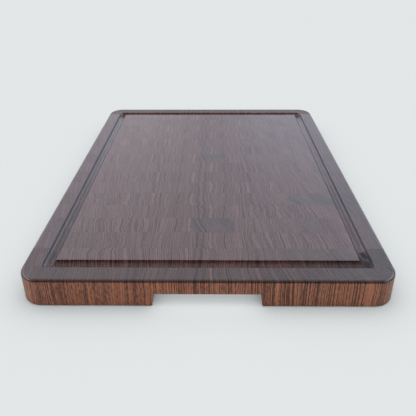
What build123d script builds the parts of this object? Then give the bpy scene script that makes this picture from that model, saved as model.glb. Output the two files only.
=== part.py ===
# End-grain butcher block cutting board, as the separate blocks that it is glued up from.
# The origin is on the underside, at the middle of the board. X runs across, Y from front to back, Z up.
import os
from math import ceil, floor, sqrt

from build123d import *

os.makedirs("parts", exist_ok=True)

# Finished board
board_width = 330.0
board_length = 432.0
board_thickness = 28.0
corner_radius = 19.5  # the four corners, seen from above
top_edge_radius = 3.0  # round-over of the top rim
lower_edge_chamfer = 0.8  # eased rim of the underside and of the grips

# Glue-up: boards side by side make a panel, and strips cut across it stand on end, every second one flipped
block_width = 43.5  # across, a full board
strip_shift = 4.25  # from the centre line to the middle block's centre, on the right
flip_slide = 16.5  # a flipped strip is slid this far to the left, so that its joints stand apart
strip_depth = 25.9  # front to back, the thickness of the boards
front_strip_depth = 19.4  # the front strip, trimmed
back_strip_least = 12.0  # the back strip is trimmed to no less than this
end_block_inside = 7.0  # the blocks at the ends of a strip reach at least this far inside the groove

# Juice groove, cut by a round-nosed cutter on a square-cornered path, with its lips chamfered
rim_width = 17.4  # from the edge of the board to the groove
cutter_radius = 5.2
groove_depth = 4.8
lip_chamfer = 0.15

# Finger grip under each end
grip_width = 96.0
grip_height = 12.7
grip_depth = 28.0
grip_corner_radius = 6.35  # inner corners, seen from above

# The groove's section, measured from the top face at the middle of the groove
cutter_centre = cutter_radius - groove_depth
lip_start = sqrt(cutter_radius**2 - (cutter_centre + lip_chamfer) ** 2)
groove_half_width = lip_start + lip_chamfer

# The cutter's path, seen from above
cutter_inset = rim_width + groove_half_width
path_width = board_width - 2 * cutter_inset
path_length = board_length - 2 * cutter_inset

# Joints between the strips, from the front of the board
full_strips = floor((board_length - front_strip_depth - back_strip_least) / strip_depth)
strip_joints = [front_strip_depth + strip * strip_depth for strip in range(full_strips + 1)]

# Joints between the blocks of a strip, from the centre line, as far out as leaves a whole end block
groove_reach = rim_width + 2 * groove_half_width
farthest_joint = board_width / 2 - groove_reach - end_block_inside
most_blocks = ceil(board_width / block_width)
panel_joints = [strip_shift + (place + 0.5) * block_width for place in range(-most_blocks, most_blocks)]
flipped_joints = [-joint - flip_slide for joint in reversed(panel_joints)]

# The glued slab after machining: outline, finger grips, edges and juice groove
with BuildPart() as slab:
    with BuildSketch():
        RectangleRounded(board_width, board_length, corner_radius)
    extrude(amount=board_thickness)

    with BuildSketch():
        with GridLocations(0, board_length, 1, 2):
            RectangleRounded(grip_width, 2 * grip_depth, grip_corner_radius)
    extrude(amount=grip_height, mode=Mode.SUBTRACT)

    fillet(slab.faces().sort_by(Axis.Z)[-1].edges(), top_edge_radius)
    end_edges = slab.edges().group_by(Axis.Y)[0] + slab.edges().group_by(Axis.Y)[-1]
    grip_edges = end_edges.filter_by(lambda edge: 0 < edge.center().Z <= grip_height)
    chamfer(slab.faces().sort_by(Axis.Z)[0].edges() + grip_edges, lower_edge_chamfer)

    with BuildLine(Plane.XY.offset(board_thickness)) as cutter_path:
        Polyline(
            (-path_width / 2, 0),
            (-path_width / 2, -path_length / 2),
            (path_width / 2, -path_length / 2),
            (path_width / 2, path_length / 2),
            (-path_width / 2, path_length / 2),
            close=True,
        )
    path_start = Plane((-path_width / 2, 0, board_thickness), x_dir=(1, 0, 0), z_dir=(0, -1, 0))
    with BuildSketch(path_start):
        with BuildLine():
            ThreePointArc((-lip_start, -lip_chamfer), (0, -groove_depth), (lip_start, -lip_chamfer))
            Polyline(
                (lip_start, -lip_chamfer),
                (groove_half_width + lip_chamfer, lip_chamfer),
                (-groove_half_width - lip_chamfer, lip_chamfer),
                (-lip_start, -lip_chamfer),
            )
        make_face()
    sweep(path=cutter_path.wire(), transition=Transition.ROUND, mode=Mode.SUBTRACT)

# The blocks, strip by strip from the front and left to right. Every second strip is flipped end for end.
# The two strips at each end hold the grips and the ends of the groove, so their blocks differ most.
strip_faces = [0.0, *strip_joints, board_length]
strip_count = len(strip_faces) - 1
end_strips = {1: "front", 2: "front_inner", strip_count - 1: "back_inner", strip_count: "back"}
nodes = {}
block_volume = 0.0
for strip, (near, far) in enumerate(zip(strip_faces, strip_faces[1:]), start=1):
    flipped = strip % 2 == 1
    joints = flipped_joints if flipped else panel_joints
    joints = [joint for joint in joints if abs(joint) <= farthest_joint]
    sides = [-board_width / 2, *joints, board_width / 2]
    last_place = len(sides) - 1

    for place, (left, right) in enumerate(zip(sides, sides[1:]), start=1):
        with BuildPart() as block:
            with BuildSketch():
                with Locations(((left + right) / 2, (near + far - board_length) / 2)):
                    Rectangle(right - left, far - near)
            extrude(amount=board_thickness)
            add(slab.part, mode=Mode.INTERSECT)
        block.part.label = f"strip_{strip:02d}_block_{place}"
        block_volume += block.part.volume

        board = last_place + 1 - place if flipped else place
        at_side = place in (1, last_place)
        if strip in end_strips and at_side:
            node = f"{end_strips[strip]}_strip_side_blocks"
        elif strip in end_strips:
            node = f"{end_strips[strip]}_strip_block_{board}"
        elif at_side:
            node = f"strip_{strip:02d}_{'left' if place == 1 else 'right'}_block"
        else:
            node = f"board_{board}_field_blocks"
        nodes.setdefault(node, []).append(block.part)

# The plain blocks of the field go together by the board that they were cut from
for node, blocks in nodes.items():
    piece = blocks[0] if len(blocks) == 1 else Compound(children=blocks)
    piece.label = node
    export_step(piece, f"parts/{node}.step")

print(f"{strip_count} strips, groove {2 * groove_half_width:.2f} mm wide, {rim_width} mm in")
print(f"slab {slab.part.volume:.1f} mm3, blocks together {block_volume:.1f} mm3")
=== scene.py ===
from math import pi, radians

import bpy
from mathutils import Matrix, Vector


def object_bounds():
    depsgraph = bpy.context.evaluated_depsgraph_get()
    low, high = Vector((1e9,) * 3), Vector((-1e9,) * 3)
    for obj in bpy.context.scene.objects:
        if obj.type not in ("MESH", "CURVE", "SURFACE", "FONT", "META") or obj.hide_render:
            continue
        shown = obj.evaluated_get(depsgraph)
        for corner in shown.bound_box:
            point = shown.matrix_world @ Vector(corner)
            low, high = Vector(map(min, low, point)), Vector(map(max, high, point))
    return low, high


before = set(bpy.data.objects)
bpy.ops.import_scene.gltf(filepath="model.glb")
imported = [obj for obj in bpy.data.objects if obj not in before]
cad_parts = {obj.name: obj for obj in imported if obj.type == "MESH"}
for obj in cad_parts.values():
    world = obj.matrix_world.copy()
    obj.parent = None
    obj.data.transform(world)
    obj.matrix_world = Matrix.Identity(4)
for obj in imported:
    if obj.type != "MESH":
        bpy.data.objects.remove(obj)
cadLow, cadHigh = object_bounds()
perMetre = 1000.0  # millimetres, in which the material works
boardWidth, boardLength, boardHeight = (perMetre * (high - low) for low, high in zip(cadLow, cadHigh))
scene = bpy.context.scene
scene.view_settings.view_transform = "Standard"
print("frame:", len(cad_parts), "nodes")


# Short ways to build node trees. A value is a number, a tuple or an output socket.
def newNode(tree, kind, **settings):  # a node of this kind with its settings
    node = tree.nodes.new(kind)
    for name, value in settings.items():
        setattr(node, name, value)
    return node


def feed(tree, socket, value):  # links an output to a socket, or sets the socket's constant
    if isinstance(value, bpy.types.NodeSocket):
        tree.links.new(value, socket)
    else:
        socket.default_value = value


def feedAll(tree, sockets, **values):  # each value to the socket of its name
    for name, value in values.items():
        feed(tree, sockets[name], value)


def calc(tree, operation, *values, clamp=False):  # one step of arithmetic, held to 0 to 1 if clamped
    node = newNode(tree, "ShaderNodeMath", operation=operation, use_clamp=clamp)
    for socket, value in zip(node.inputs, values):
        feed(tree, socket, value)
    return node.outputs[0]


def vec(tree, *values):  # a vector of three values
    node = newNode(tree, "ShaderNodeCombineXYZ")
    for socket, value in zip(node.inputs, values):
        feed(tree, socket, value)
    return node.outputs[0]


def scaled(tree, *pairs):  # a place whose axes are three values, each times its own scale
    return vec(tree, *(calc(tree, "MULTIPLY", value, scale) for value, scale in pairs))


def parts(tree, vector):  # the three values of a vector
    node = newNode(tree, "ShaderNodeSeparateXYZ")
    feed(tree, node.inputs[0], vector)
    return node.outputs


def spread(tree, value, low, high, toLow=0.0, toHigh=1.0):  # low to high goes smoothly to toLow to toHigh
    node = newNode(tree, "ShaderNodeMapRange", interpolation_type="SMOOTHSTEP")
    for socket, given in zip(node.inputs, (value, low, high, toLow, toHigh)):
        feed(tree, socket, given)
    return node.outputs[0]


def noise(tree, vector, scale=1.0, detail=2.0, rough=0.5):  # smooth noise from 0 to 1
    node = newNode(tree, "ShaderNodeTexNoise", noise_dimensions="3D")
    feedAll(tree, node.inputs, Vector=vector, Scale=scale, Detail=detail, Roughness=rough)
    return node.outputs["Fac"]


def swing(tree, *settings):  # noise that goes as far below zero as above it
    return calc(tree, "SUBTRACT", noise(tree, *settings), 0.5)


def chance(tree, first, second):  # an even random number from 0 to 1 for each pair of whole numbers
    node = newNode(tree, "ShaderNodeTexWhiteNoise", noise_dimensions="2D")
    feed(tree, node.inputs["Vector"], vec(tree, first, second, 0.0))
    return node.outputs["Value"]


def without(tree, mask, share=1.0):  # 1 where the mask is 0, and less by the share where it is 1
    return calc(tree, "MULTIPLY_ADD", mask, -share, 1.0)


def blend(tree, share, first, second, mode="MIX"):  # from first, by the share, to the mode's result
    node = newNode(tree, "ShaderNodeMix", data_type="RGBA", blend_type=mode)
    for socket, value in ((node.inputs[0], share), (node.inputs[6], first), (node.inputs[7], second)):
        feed(tree, socket, value)
    return node.outputs[2]


def newGroup(name, takes, gives):  # a shader node group whose sockets are numbers, but Place a vector
    tree = bpy.data.node_groups.new(name, "ShaderNodeTree")
    for labels, way in ((takes, "INPUT"), (gives, "OUTPUT")):
        for label in labels:
            kind = "NodeSocketVector" if label == "Place" else "NodeSocketFloat"
            tree.interface.new_socket(name=label, in_out=way, socket_type=kind)
    inside = newNode(tree, "NodeGroupInput").outputs
    outside = newNode(tree, "NodeGroupOutput").inputs
    return tree, inside, outside


def useGroup(tree, group, **values):  # a group with its inputs fed
    node = newNode(tree, "ShaderNodeGroup", node_tree=group)
    feedAll(tree, node.inputs, **values)
    return node.outputs


def inMillimetres(tree, place):  # the three values of a place in metres, times 1000
    return (calc(tree, "MULTIPLY", part, perMetre) for part in parts(tree, place))


# The glue-up, in millimetres from the front face and the centre line
glueUp = {
    "stripDepth": 25.9,
    "frontStrip": 19.4,
    "blockWidth": 43.5,
    "stripShift": 4.25,  # of the middle block
    "flipSlide": 16.5,
    "boards": 7,
    "jointWidth": 0.22,
}
lastStrip = int((boardLength - glueUp["frontStrip"]) / glueUp["stripDepth"]) + 1  # the front strip is 0


# Turns a place on the board into a place on the panel before it was cut up.
# Strip = whole part of the distance from the first joint over the strip depth.
# Every second strip is turned end for end, so there across and through run the other way.
# Board = whole part of the distance across over the block width. Joint is 1 on a glue line between strips.
def panelPlaceGroup():
    g = glueUp
    tree, given, result = newGroup(
        "panelPlace", ["Place"], ["Across", "Through", "Height", "Strip", "Board", "Joint"])
    x, y, z = inMillimetres(tree, given["Place"])
    fromJoint = calc(tree, "ADD", y, boardLength / 2 - g["frontStrip"])
    strips = calc(tree, "DIVIDE", fromJoint, g["stripDepth"])
    strip = calc(tree, "ADD", calc(tree, "FLOOR", strips), 1.0)
    turned = calc(tree, "SUBTRACT", 1.0, calc(tree, "MODULO", strip, 2.0))
    facing = calc(tree, "MULTIPLY_ADD", turned, -2.0, 1.0)  # 1, or -1 where turned
    slid = calc(tree, "MULTIPLY", turned, -g["flipSlide"])
    across = calc(tree, "MULTIPLY_ADD", x, facing, slid)
    half = calc(tree, "SUBTRACT", calc(tree, "FRACT", strips), 0.5)
    through = calc(tree, "MULTIPLY", calc(tree, "MULTIPLY", half, facing), g["stripDepth"])
    boards = calc(tree, "DIVIDE", calc(tree, "SUBTRACT", across, g["stripShift"]), g["blockWidth"])
    middle = (g["boards"] + 1) / 2
    board = calc(tree, "ADD", calc(tree, "FLOOR", calc(tree, "ADD", boards, 0.5)), middle)
    board = calc(tree, "MINIMUM", calc(tree, "MAXIMUM", board, 1.0), float(g["boards"]))
    toJoint = calc(tree, "SUBTRACT", 0.5, calc(tree, "ABSOLUTE", half))
    toJoint = calc(tree, "MULTIPLY", toJoint, g["stripDepth"])
    joint = spread(tree, toJoint, 0.0, g["jointWidth"], 1.0, 0.0)
    feedAll(tree, result, Across=across, Through=through, Height=z, Strip=strip, Board=board, Joint=joint)
    return tree


# Growth rings, fine lines, streaks and pores of the panel's boards, in millimetres
figure = {
    "drift": 0.22,  # how far the pattern moves on from strip to strip
    "lean": -0.13,  # mm across for each mm through, away from the middle boards
    "leanMiddle": -5.0,
    "leanStart": 35.0,  # from the middle
    "leanFull": 75.0,
    "slateLean": 3.0,  # how much more the lines lean in grey wood
    "slowWander": (0.025, 0.045, 6.84),  # waves for each mm across and through, and reach in mm
    "fineWander": (0.07, 0.085, 1.9),
    "upBend": (0.07, 0.045, 2.4),  # waves for each mm across and up, and reach in mm
    "ringSpacing": 2.6,
    "unevenScale": 0.11,  # waves for each mm of the change in ring width
    "unevenRings": 5.0,
    "lateWood": (0.2, 0.85),  # shares of a ring over which it darkens
    "lateWeight": 0.6,
    "openingPlace": 0.14,  # of the pale line in a ring, and where it begins to fade and ends
    "openingFade": (0.02, 0.18),
    "ringChange": 0.71,  # how quickly the strength changes from ring to ring
    "threadWidth": 1.1,  # of the fine lines between the rings
    "threadAlong": 0.02,  # waves for each mm along a thread
    "boardStep": 3.7,  # how far the threads' pattern moves on from board to board
    "fibreScale": 0.9,
    "fibreUp": 0.25,  # how much slower the fibre changes along the grain
    "poreSpacing": 1.1,
    "poreRadius": 0.20,
    "poreFade": (0.7, 1.2),  # in radii
    "latePores": 0.6,  # how much smaller they are in late wood
    "vesselLength": 9.0,  # along the grain
    "boldFrom": (-90.0, 1.15),  # place across and boldness of the lines, at both ends of the change
    "boldTo": (70.0, 0.65),
    "ringWeight": 0.65,  # what each part adds to the darkness
    "threadWeight": 1.5,
    "toneWeight": -0.42,
    "fibreWeight": 1.2,
    "streakWeight": -0.5,
    "toneScale": (0.06, 0.01),  # waves for each mm across and through
    "toneMiddle": 0.6,
    "blockTone": 0.2,  # how far the tones of the blocks differ
    "patchy": 0.32,  # most grey outside the patches
    "patchyScale": (0.045, 0.012),
    "patchyBand": (0.45, 0.75),  # of the noise
    "flameScale": (0.16, 0.06),
    "flameBand": (0.38, 0.56),
    "flameLeast": 0.30,  # grey left between the flames
    "slateEdge": 0.5,  # half the width of a patch's soft end
    "streaks": (  # place on the panel and width, and strength: above 0 pale, below 0 dark
        (-80.5, 2.0, -0.5),
        (-62.5, 1.5, 0.55),
        (-47.5, 1.1, 0.6),
        (-33.5, 2.0, -0.8),
        (-19.5, 1.7, 0.9),
        (-6.5, 1.8, -0.8),
        (28.0, 1.2, 0.65),
        (46.5, 2.4, -0.6),
        (88.0, 1.2, 0.4),
    ),
    "slate": (  # grey patches: strip, from and to across, slant and strength
        (0, -100.0, -66.0, 0.2, 0.2),
        (0, -150.0, -100.0, 0.2, 0.5),
        (0, -185.0, -150.0, 0.2, 0.9),
        (1, 70.0, 108.0, 0.3, 0.50),
        (1, 108.0, 134.0, 0.3, 0.80),
        (1, 134.0, 170.0, 0.3, 1.20),
        (3, -170.0, -148.0, 0.0, 0.6),
        (3, -17.5, 26.0, 0.0, 0.85),
        (3, 96.0, 118.0, 0.3, 0.55),
        (5, 86.0, 170.0, 0.7, 0.95),
        (9, -170.0, -148.0, 0.0, 0.6),
        (9, -17.5, 26.0, 0.0, 0.85),
        (9, 140.0, 170.0, 0.0, 0.5),
    ),
}


# Grey patches = the sum, over the list, of strength where the strip is the patch's own
# and the slanted place across lies between its two ends.
def slatePatches(tree, across, through, strip):
    slate = 0.0
    soft = figure["slateEdge"]
    for number, low, high, slant, share in figure["slate"]:
        place = calc(tree, "MULTIPLY_ADD", through, -slant, across)
        inside = calc(tree, "MULTIPLY", spread(tree, place, low - soft, low + soft),
                      spread(tree, place, high - soft, high + soft, 1.0, 0.0))
        here = calc(tree, "MULTIPLY", calc(tree, "COMPARE", strip, float(number), 0.5), inside)
        slate = calc(tree, "MULTIPLY_ADD", here, share, slate)
    return slate


# Line = place across, less a lean that grows away from the middle, plus a slow wander, a fine wave
# and a bend along the height, so that lines run from joint to joint.
def grainLine(tree, across, through, height, drift, slate):
    f = figure
    fromMiddle = calc(tree, "ABSOLUTE", calc(tree, "SUBTRACT", across, f["leanMiddle"]))
    away = spread(tree, fromMiddle, f["leanStart"], f["leanFull"])
    lean = calc(tree, "MULTIPLY_ADD", slate, f["slateLean"], away)
    lean = calc(tree, "MULTIPLY", calc(tree, "MULTIPLY", lean, f["lean"]), through)
    line = calc(tree, "SUBTRACT", across, lean)
    for perAcross, perThrough, reach in (f["slowWander"], f["fineWander"]):
        place = scaled(tree, (across, perAcross), (through, perThrough), (drift, 1.0))
        line = calc(tree, "MULTIPLY_ADD", swing(tree, place, 1.0, 0.5), reach, line)
    perAcross, perHeight, reach = f["upBend"]
    place = scaled(tree, (across, perAcross), (through, perAcross), (height, perHeight))
    return calc(tree, "MULTIPLY_ADD", swing(tree, place), reach, line)


# Ring = line over the ring spacing, made uneven by a slow noise, and phase = its fraction.
# Late wood grows with the phase and ends at the next ring, which opens with a thin pale line.
# Rings = late wood times its weight, less the opening, times a strength of the ring's own.
def growthRings(tree, line, board):
    f = figure
    uneven = noise(tree, scaled(tree, (line, f["unevenScale"]), (board, 1.0), (0.0, 1.0)), 1.0, 1.0)
    ring = calc(tree, "DIVIDE", line, f["ringSpacing"])
    ring = calc(tree, "MULTIPLY_ADD", uneven, f["unevenRings"], ring)
    phase = calc(tree, "FRACT", ring)
    lateStart, latest = f["lateWood"]
    late = calc(tree, "MULTIPLY", spread(tree, phase, lateStart, latest),
                spread(tree, phase, latest, 1.0, 1.0, 0.0))
    fromOpening = calc(tree, "ABSOLUTE", calc(tree, "SUBTRACT", phase, f["openingPlace"]))
    opening = spread(tree, fromOpening, *f["openingFade"], 1.0, 0.0)
    strength = noise(tree, vec(tree, calc(tree, "FLOOR", ring), board, 3.0), f["ringChange"], 0.0)
    rings = calc(tree, "SUBTRACT", calc(tree, "MULTIPLY", late, f["lateWeight"]), opening)
    return calc(tree, "MULTIPLY", rings, strength), late


# Pores are 1 within a radius of random points, one for each cell as wide as the pore spacing.
# The cells are as long as the vessels along the height, and the radius is smaller in late wood.
def woodPores(tree, across, through, height, late):
    f = figure
    cells = newNode(tree, "ShaderNodeTexVoronoi", voronoi_dimensions="3D", feature="F1")
    place = scaled(tree, (across, 1.0), (through, 1.0), (height, f["poreSpacing"] / f["vesselLength"]))
    feedAll(tree, cells.inputs, Vector=place, Scale=1.0 / f["poreSpacing"])
    radius = calc(tree, "MULTIPLY_ADD", late, -f["latePores"] * f["poreRadius"], f["poreRadius"])
    distance = calc(tree, "MULTIPLY", cells.outputs["Distance"], f["poreSpacing"])
    return spread(tree, calc(tree, "DIVIDE", distance, radius), *f["poreFade"], 1.0, 0.0)


# Dark = a half, plus rings, fine threads along the line, slow tones, fibre and dark streaks,
# each times its weight.
# Pale = the streaks above 0. Slate = the grey patches broken up by flames, plus a slow patchy grey.
# SideLines are the threads seen on the long sides, where the line itself hardly changes.
def walnutFigureGroup():
    f = figure
    tree, given, result = newGroup(
        "walnutFigure", ["Across", "Through", "Height", "Strip", "Board"],
        ["Dark", "Pale", "Slate", "Fibre", "Pores", "SideLines"])
    across, through, height = given["Across"], given["Through"], given["Height"]
    strip, board = given["Strip"], given["Board"]
    drift = calc(tree, "MULTIPLY", strip, f["drift"])
    patches = slatePatches(tree, across, through, strip)
    line = grainLine(tree, across, through, height, drift, patches)
    rings, late = growthRings(tree, line, board)
    pores = woodPores(tree, across, through, height, late)
    fibre = noise(tree, scaled(tree, (across, 1.0), (through, 1.0), (height, f["fibreUp"])),
                  f["fibreScale"], 3.0, 0.6)

    perThread = 1.0 / f["threadWidth"]
    slow, step = f["threadAlong"], f["boardStep"]
    along = calc(tree, "MULTIPLY_ADD", through, slow, drift)
    threadPlace = scaled(tree, (line, perThread), (board, step), (along, 1.0))
    threads = swing(tree, threadPlace, 1.0, 2.0, 0.55)
    along = calc(tree, "MULTIPLY_ADD", height, slow, calc(tree, "MULTIPLY", strip, step))
    sidePlace = scaled(tree, (across, slow), (through, perThread), (along, 1.0))
    sideLines = swing(tree, sidePlace, 1.0, 2.0, 0.55)

    streaks = 0.0
    for place, width, share in f["streaks"]:
        off = calc(tree, "ABSOLUTE", calc(tree, "SUBTRACT", line, place))
        streaks = calc(tree, "MULTIPLY_ADD", spread(tree, off, 0.0, width, 1.0, 0.0), share, streaks)

    def slowPlace(scales, third):  # along the line and through, each by its scale, and a third value
        return scaled(tree, (line, scales[0]), (through, scales[1]), (third, 1.0))

    patchyNoise = noise(tree, slowPlace(f["patchyScale"], calc(tree, "ADD", drift, 5.0)), 1.0, 1.0)
    patchy = spread(tree, patchyNoise, *f["patchyBand"], 0.0, f["patchy"])
    flameNoise = noise(tree, slowPlace(f["flameScale"], 11.0), 1.0, 1.0)
    flames = spread(tree, flameNoise, *f["flameBand"], f["flameLeast"], 1.0)
    slate = calc(tree, "MULTIPLY_ADD", patches, flames, patchy, clamp=True)

    tone = noise(tree, slowPlace(f["toneScale"], drift))
    tone = calc(tree, "MULTIPLY_ADD", chance(tree, board, strip), f["blockTone"], tone)
    (boldStart, boldest), (boldEnd, faintest) = f["boldFrom"], f["boldTo"]
    bold = spread(tree, across, boldStart, boldEnd, boldest, faintest)
    dark = 0.5
    for value, weight in ((calc(tree, "MULTIPLY", rings, bold), "ringWeight"),
                          (calc(tree, "MULTIPLY", threads, bold), "threadWeight"),
                          (calc(tree, "SUBTRACT", tone, f["toneMiddle"]), "toneWeight"),
                          (calc(tree, "SUBTRACT", fibre, 0.5), "fibreWeight"),
                          (calc(tree, "MINIMUM", streaks, 0.0), "streakWeight")):
        dark = calc(tree, "MULTIPLY_ADD", value, f[weight], dark)
    feedAll(tree, result, Dark=dark, Pale=calc(tree, "MAXIMUM", streaks, 0.0), Slate=slate, Fibre=fibre,
            Pores=pores, SideLines=sideLines)
    return tree


# The machined zones of the finished board, in millimetres
machining = {
    "rimWidth": 17.4,  # from the edge of the board to the groove
    "grooveHalf": 5.32,  # half the groove's width
    "zoneFade": (8.0, 6.0),  # below the top face, where the zones begin and are full
    "grooveFade": (-0.1, 0.5),  # from the groove's edge, where its zone begins to fade and ends
    "rimFade": (0.0, 0.6),
    "mitre": (-0.5, 0.5),
}


# Distance from the middle of the groove = the larger of how far a place lies outside its path,
# across and along.
# Groove is 1 within half its width, near the top face, and Rim is 1 outside it.
# Ends is 1 where the groove runs across the board, up to the mitres.
def machinedZonesGroup():
    m = machining
    half = m["grooveHalf"]
    inset = m["rimWidth"] + half
    tree, given, result = newGroup("machinedZones", ["Place"], ["Groove", "Rim", "Ends"])
    x, y, z = inMillimetres(tree, given["Place"])
    outX = calc(tree, "SUBTRACT", calc(tree, "ABSOLUTE", x), boardWidth / 2 - inset)
    outY = calc(tree, "SUBTRACT", calc(tree, "ABSOLUTE", y), boardLength / 2 - inset)
    out = calc(tree, "MAXIMUM", outX, outY)
    nearTop = spread(tree, z, *(boardHeight - depth for depth in m["zoneFade"]))
    fromEdge = calc(tree, "SUBTRACT", calc(tree, "ABSOLUTE", out), half)
    groove = spread(tree, fromEdge, *m["grooveFade"], 1.0, 0.0)
    rim = spread(tree, calc(tree, "SUBTRACT", out, half), *m["rimFade"])
    ends = spread(tree, calc(tree, "SUBTRACT", outY, outX), *m["mitre"])
    feedAll(tree, result, Groove=calc(tree, "MULTIPLY", groove, nearTop),
            Rim=calc(tree, "MULTIPLY", rim, nearTop), Ends=ends)
    return tree


panelPlace = panelPlaceGroup()
walnutFigure = walnutFigureGroup()
machinedZones = machinedZonesGroup()
print("node groups:", len(bpy.data.node_groups))

# Oiled walnut: dark end grain above and below, redder long grain on the sides
walnut = {
    "endPale": (0.153, 0.102, 0.106, 1.0),
    "endDark": (0.040, 0.021, 0.024, 1.0),
    "endStreak": (0.230, 0.130, 0.105, 1.0),
    "slateTint": (0.62, 0.80, 0.87, 1.0),
    "longPale": (0.455, 0.154, 0.070, 1.0),
    "longDark": (0.080, 0.017, 0.005, 1.0),
    "roundOverShade": (0.58, 0.38, 0.34, 1.0),  # tint of the round-over: painted shade that darkens the edge band
    "endGroove": (0.66, 0.57, 0.59, 1.0),  # tint of the groove across the ends: painted shade in the recess
    "sideGroove": (0.66, 0.70, 0.76, 1.0),  # tint of the groove's floor along the sides: painted bluish shade in the recess
    "sideWallSheenAndShade": (0.130, 0.118, 0.140, 1.0),  # colour of the groove's walls along the sides: painted bluish sheen and shade in place of the wood
    "rim": (0.745, 0.735, 0.81, 1.0),  # tint of the top face outside the groove
    "endStrips": (0.85, 0.84, 0.75, 1.0),  # further tint of the rim on the end strips
    "bounce": (0.03, 0.04, 0.04, 1.0),  # what the board throws back on the floor
    "frontStrips": 2,  # how many strips at the front count as end strips
    "backGroove": 0.2,  # how much of the groove's painted shade the back end takes
    "grooveContrast": 1.2,  # how much bolder the figure is in the groove across the ends
    "edgeContrast": 1.0,
    "rimContrast": 0.25,
    "longContrast": 1.8,  # of the figure on the ends' faces
    "sideContrast": 1.0,  # of the figure on the long sides
    "sideLines": 2.2,
    "longMiddle": 0.45,  # the darkness that the contrast leaves as it is
    "grooveEnd": 0.5,  # how much end grain the upright parts of the groove across the ends keep
    "jointDark": 0.25,
    "poreDark": 0.35,
    "streakShare": 0.6,
    "rimStreak": 0.5,  # added to that on the end strips' rim
    "faceSlate": 0.25,  # how much of the grey shows on the upright faces
    "roughness": 0.46,
    "edgeRoughness": 0.20,
    "grooveRoughness": 0.34,
    "stripRoughness": 0.62,
    "fibreRoughness": 0.16,
    "poreRoughness": 0.2,
    "gloss": 0.5,
    "grooveGloss": 0.22,  # of the groove across the ends
    "edgeGloss": 0.25,  # of the round-over across the ends
    "slateGloss": 0.05,  # of the front strips' grey wood in the side grooves
    "poreDepth": 0.00006,  # in metres
    "fibreRelief": 0.25,  # as shares of that
    "jointRelief": -0.5,
}


# Bands of how far a face looks up or down, 0 on an upright face and 1 on a flat one:
# where a mask begins and ends, and then the mask's values there
upBands = {
    "longGrain": (0.05, 0.45, 1.0, 0.0),
    "edgeLow": (0.05, 0.35, 0.0, 1.0),
    "edgeHigh": (0.80, 0.99, 1.0, 0.0),
    "sideFloor": (0.35, 0.9, 0.0, 1.0),
    "sideWallSheenAndShade": (0.35, 0.85, 0.85, 0.0),
    "steep": (0.45, 0.9, 0.28, 0.10),
    "rim": (0.5, 0.95, 0.0, 1.0),
}
endBand = (0.1, 0.5, 1.0, 0.0)  # of how far a face looks sideways


# Each mask is the product of a zone and a band, and for the end strips a test of the strip's number.
def boardMasks(tree, place, zones, facing):
    def banded(mask, name):  # the mask times its band
        return calc(tree, "MULTIPLY", mask, spread(tree, facing[2], *upBands[name]))

    groove = zones["Groove"]
    turned = banded(spread(tree, facing[2], *upBands["edgeLow"]), "edgeHigh")
    masks = {"longGrain": spread(tree, facing[2], *upBands["longGrain"])}
    masks["edge"] = calc(tree, "MULTIPLY", turned, without(tree, groove))
    masks["endEdge"] = calc(tree, "MULTIPLY", masks["edge"], spread(tree, facing[0], *endBand))
    masks["groove"] = groove
    masks["endGroove"] = calc(tree, "MULTIPLY", groove, zones["Ends"])
    masks["sideGroove"] = calc(tree, "SUBTRACT", groove, masks["endGroove"])
    masks["sideFloor"] = banded(masks["sideGroove"], "sideFloor")
    masks["sideWallSheenAndShade"] = banded(masks["sideGroove"], "sideWallSheenAndShade")
    masks["steep"] = banded(masks["endGroove"], "steep")
    masks["rim"] = banded(zones["Rim"], "rim")
    masks["front"] = calc(tree, "LESS_THAN", place["Strip"], walnut["frontStrips"] - 0.5)
    last = calc(tree, "GREATER_THAN", place["Strip"], lastStrip - 0.5)
    masks["endStrip"] = calc(tree, "MULTIPLY", calc(tree, "ADD", masks["front"], last), masks["rim"])
    towardsBack = calc(tree, "GREATER_THAN", place["Strip"], lastStrip / 2)
    takenUp = without(tree, towardsBack, 1.0 - walnut["backGroove"])
    # where the groove across the ends takes its painted shade, weaker towards the back
    masks["endTint"] = calc(tree, "MULTIPLY", takenUp, masks["endGroove"])
    longFace = calc(tree, "MULTIPLY", masks["longGrain"], without(tree, groove))
    masks["slate"] = without(tree, longFace, 1.0 - walnut["faceSlate"])
    return masks


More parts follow.
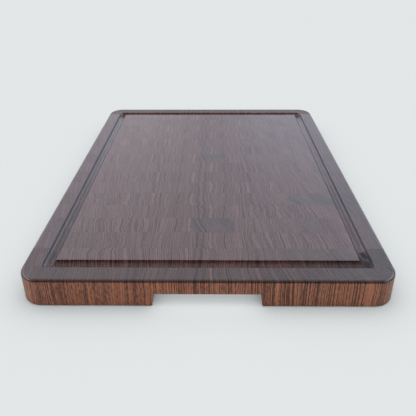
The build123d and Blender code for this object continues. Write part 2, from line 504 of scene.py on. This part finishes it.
# Colour = end grain blended to long grain on upright faces. Each goes from its pale to its dark colour
# by the figure's darkness, spread about its middle by the contrast of the zone. Grey and tints multiply it.
def woodColour(tree, place, wood, masks, sideways):
    w = walnut
    bold = 1.0
    for mask, name in (("endGroove", "grooveContrast"), ("edge", "edgeContrast"),
                       ("endStrip", "rimContrast")):
        bold = calc(tree, "MULTIPLY_ADD", masks[mask], w[name], bold)
    dark = calc(tree, "MULTIPLY_ADD", place["Joint"], w["jointDark"], wood["Dark"])
    dark = calc(tree, "MULTIPLY_ADD", wood["Pores"], w["poreDark"], dark)
    endShare = calc(tree, "MULTIPLY_ADD", calc(tree, "SUBTRACT", dark, 0.5), bold, 0.5, clamp=True)
    endGrain = blend(tree, endShare, w["endPale"], w["endDark"])
    streakShare = calc(tree, "MULTIPLY_ADD", masks["endStrip"], w["rimStreak"], w["streakShare"])
    streak = calc(tree, "MULTIPLY", wood["Pale"], streakShare, clamp=True)
    endGrain = blend(tree, streak, endGrain, w["endStreak"])

    sideLines = calc(tree, "MULTIPLY", calc(tree, "MULTIPLY", wood["SideLines"], w["sideLines"]), sideways)
    calmer = w["sideContrast"] - w["longContrast"]
    longBold = calc(tree, "MULTIPLY_ADD", sideways, calmer, w["longContrast"])
    longShare = calc(tree, "SUBTRACT", dark, w["longMiddle"])
    longShare = calc(tree, "MULTIPLY_ADD", longShare, longBold, w["longMiddle"])
    longShare = calc(tree, "ADD", longShare, sideLines, clamp=True)
    longWood = blend(tree, longShare, w["longPale"], w["longDark"])

    upright = without(tree, masks["endGroove"], w["grooveEnd"])
    upright = calc(tree, "MULTIPLY", masks["longGrain"], upright)
    colour = blend(tree, calc(tree, "MAXIMUM", upright, masks["steep"]), endGrain, longWood)
    # the side grooves' walls take a painted bluish sheen and shade in place of the wood
    colour = blend(tree, masks["sideWallSheenAndShade"], colour, w["sideWallSheenAndShade"])
    slate = calc(tree, "MULTIPLY", wood["Slate"], masks["slate"])
    # the tints of the round-over and of the grooves are painted shade, bluish in the side grooves' floor
    for share, tint in ((slate, "slateTint"), (masks["edge"], "roundOverShade"), (masks["endTint"], "endGroove"),
                        (masks["sideFloor"], "sideGroove"), (masks["rim"], "rim"),
                        (masks["endStrip"], "endStrips")):
        colour = blend(tree, share, colour, w[tint], "MULTIPLY")
    return colour, slate


# Roughness and gloss = the plain wood's, moved to each zone's own by its mask.
# Relief = fibre less pores and joints, times the depth of a pore.
def oiledWalnut():
    w = walnut
    material = bpy.data.materials.new("oiledWalnut")
    material.use_nodes = True
    tree = material.node_tree
    shader = tree.nodes["Principled BSDF"]
    coordinates = newNode(tree, "ShaderNodeTexCoord").outputs
    place = useGroup(tree, panelPlace, Place=coordinates["Object"])
    onPanel = {name: place[name] for name in ("Across", "Through", "Height", "Strip", "Board")}
    wood = useGroup(tree, walnutFigure, **onPanel)
    zones = useGroup(tree, machinedZones, Place=coordinates["Object"])
    facing = [calc(tree, "ABSOLUTE", part) for part in parts(tree, coordinates["Normal"])]
    masks = boardMasks(tree, place, zones, facing)
    colour, slate = woodColour(tree, place, wood, masks, facing[0])
    bounced = newNode(tree, "ShaderNodeLightPath").outputs["Is Diffuse Ray"]
    colour = blend(tree, bounced, colour, w["bounce"])  # so that the floor keeps a cool shadow
    feed(tree, shader.inputs["Base Color"], colour)

    fibre = calc(tree, "SUBTRACT", wood["Fibre"], 0.5)
    rough = calc(tree, "MULTIPLY_ADD", fibre, w["fibreRoughness"], w["roughness"])
    rough = calc(tree, "MULTIPLY_ADD", wood["Pores"], w["poreRoughness"], rough)
    for mask, name in (("edge", "edgeRoughness"), ("groove", "grooveRoughness"),
                       ("endStrip", "stripRoughness")):
        rough = calc(tree, "MULTIPLY_ADD", masks[mask], w[name] - w["roughness"], rough)
    feed(tree, shader.inputs["Roughness"], rough)

    dull = calc(tree, "MULTIPLY", calc(tree, "MULTIPLY", slate, masks["sideGroove"]), masks["front"])
    gloss = w["gloss"]
    for mask, name in ((masks["endGroove"], "grooveGloss"), (masks["endEdge"], "edgeGloss"),
                       (dull, "slateGloss")):
        gloss = calc(tree, "MULTIPLY_ADD", mask, w[name] - w["gloss"], gloss)
    feed(tree, shader.inputs["Specular IOR Level"], gloss)

    height = calc(tree, "MULTIPLY", wood["Fibre"], w["fibreRelief"])
    height = calc(tree, "SUBTRACT", height, wood["Pores"])
    height = calc(tree, "MULTIPLY_ADD", place["Joint"], w["jointRelief"], height)
    relief = newNode(tree, "ShaderNodeBump")
    feedAll(tree, relief.inputs, Strength=1.0, Distance=w["poreDepth"], Height=height)
    feed(tree, shader.inputs["Normal"], relief.outputs[0])
    return material


boardWood = oiledWalnut()
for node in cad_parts.values():
    node.data.materials.clear()
    node.data.materials.append(boardWood)
print("walnut on", len(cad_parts), "nodes")

# Pale floor under a wide soft light from above, brightest overhead, in metres and watts
studio = {
    "floorColour": (0.7605, 0.7913, 0.7913, 1.0),
    "floorSize": 8.0,
    "floorDrop": 0.0002,  # below the board
    "overhead": 2.384,  # radiance at the zenith
    "falloff": 1.8,  # power of the sine of the height, down to the horizon
    "gripLamp": (0.095, 0.031),  # width and depth
    "gripPlace": 0.206,  # from the middle of the board
    "gripHeight": 0.0122,
    "gripWatts": 0.0059,
    "sheenBoxes": (  # place, width and height, colour and watts of soft boxes that only show as sheen
        ((-1.2, 2.2, 0.80), (2.5, 1.2), (0.99, 0.95, 1.08), 21.2),
        ((1.2, 2.2, 0.80), (2.5, 1.2), (0.87, 0.96, 1.18), 21.2),
        ((-1.75, 0.0, 0.93), (3.2, 0.9), (0.92, 0.95, 1.04), 42.0),
        ((1.75, 0.0, 0.93), (3.2, 0.9), (0.86, 0.95, 1.12), 46.0),
    ),
}


# A square just under the board, half its size to each side of the origin
def paleFloor():
    s = studio
    half = s["floorSize"] / 2
    corners = [(x * half, y * half, -s["floorDrop"]) for x, y in ((-1, -1), (1, -1), (1, 1), (-1, 1))]
    mesh = bpy.data.meshes.new("floor")
    mesh.from_pydata(corners, [], [(0, 1, 2, 3)])
    floor = bpy.data.objects.new("floor", mesh)
    scene.collection.objects.link(floor)
    material = bpy.data.materials.new("paleFloor")
    material.use_nodes = True
    shader = material.node_tree.nodes["Principled BSDF"]
    shader.inputs["Base Color"].default_value = s["floorColour"]
    shader.inputs["Roughness"].default_value = 1.0
    shader.inputs["Specular IOR Level"].default_value = 0.0
    mesh.materials.append(material)


# Radiance = overhead times the sine of the height to the power of the falloff.
# The camera sees the floor's colour instead.
def softSky():
    s = studio
    world = bpy.data.worlds.new("softSky")
    scene.world = world
    world.use_nodes = True
    tree = world.node_tree
    tree.nodes.clear()
    sine = parts(tree, newNode(tree, "ShaderNodeTexCoord").outputs["Generated"])[2]
    glow = calc(tree, "POWER", calc(tree, "MAXIMUM", sine, 0.0), s["falloff"])
    light = newNode(tree, "ShaderNodeBackground")
    feed(tree, light.inputs["Strength"], calc(tree, "MULTIPLY", glow, s["overhead"]))
    plain = newNode(tree, "ShaderNodeBackground")
    plain.inputs["Color"].default_value = s["floorColour"]
    pick = newNode(tree, "ShaderNodeMixShader")
    feed(tree, pick.inputs[0], newNode(tree, "ShaderNodeLightPath").outputs["Is Camera Ray"])
    tree.links.new(light.outputs[0], pick.inputs[1])
    tree.links.new(plain.outputs[0], pick.inputs[2])
    tree.links.new(pick.outputs[0], newNode(tree, "ShaderNodeOutputWorld").inputs[0])


def areaLamp(name, size, watts):  # a flat lamp that the camera doesn't see, facing down until it is turned
    data = bpy.data.lights.new(name, "AREA")
    data.shape = "RECTANGLE"
    data.size, data.size_y = size
    data.energy = watts
    lamp = bpy.data.objects.new(name, data)
    lamp.visible_camera = False
    scene.collection.objects.link(lamp)
    return lamp


# Soft boxes behind the board and beside it, each turned to the middle of the board.
# They light no diffuse surface.
def sheenBoxes():
    for place, size, colour, watts in studio["sheenBoxes"]:
        lamp = areaLamp("sheenBox", size, watts)
        lamp.data.color = colour
        lamp.visible_diffuse = False
        turn = (-Vector(place)).to_track_quat("-Z", "Y").to_matrix().to_4x4()
        lamp.matrix_world = Matrix.Translation(place) @ turn


# A lamp under the top of each grip, so that the floor shows pale through it
def gripLights():
    s = studio
    for side in (-1, 1):
        lamp = areaLamp("gripLight", s["gripLamp"], s["gripWatts"])
        lamp.location = (0.0, side * s["gripPlace"], s["gripHeight"])


paleFloor()
softSky()
sheenBoxes()
gripLights()

# Camera: a little right of the middle, above and in front of the board, turned down
cameraView = {
    "place": (0.0049, -0.5240, 0.2909),
    "pitch": 25.83,  # degrees
    "yaw": -0.686,
    "roll": -0.255,
    "lens": 40.06,
    "sensor": 36.0,
    "shiftUp": -0.1154,
}


# Turn = yaw about the upright, then pitch down from the horizon, then roll about the line of sight
def setCamera():
    c = cameraView
    data = bpy.data.cameras.new("camera")
    data.sensor_width = c["sensor"]
    data.lens = c["lens"]
    data.shift_y = c["shiftUp"]
    camera = bpy.data.objects.new("camera", data)
    scene.collection.objects.link(camera)
    turn = Matrix.Rotation(radians(-c["yaw"]), 4, "Z")
    turn = turn @ Matrix.Rotation(pi / 2 - radians(c["pitch"]), 4, "X")
    turn = turn @ Matrix.Rotation(radians(c["roll"]), 4, "Z")
    camera.matrix_world = Matrix.Translation(c["place"]) @ turn
    scene.camera = camera


setCamera()
print("studio and camera set")
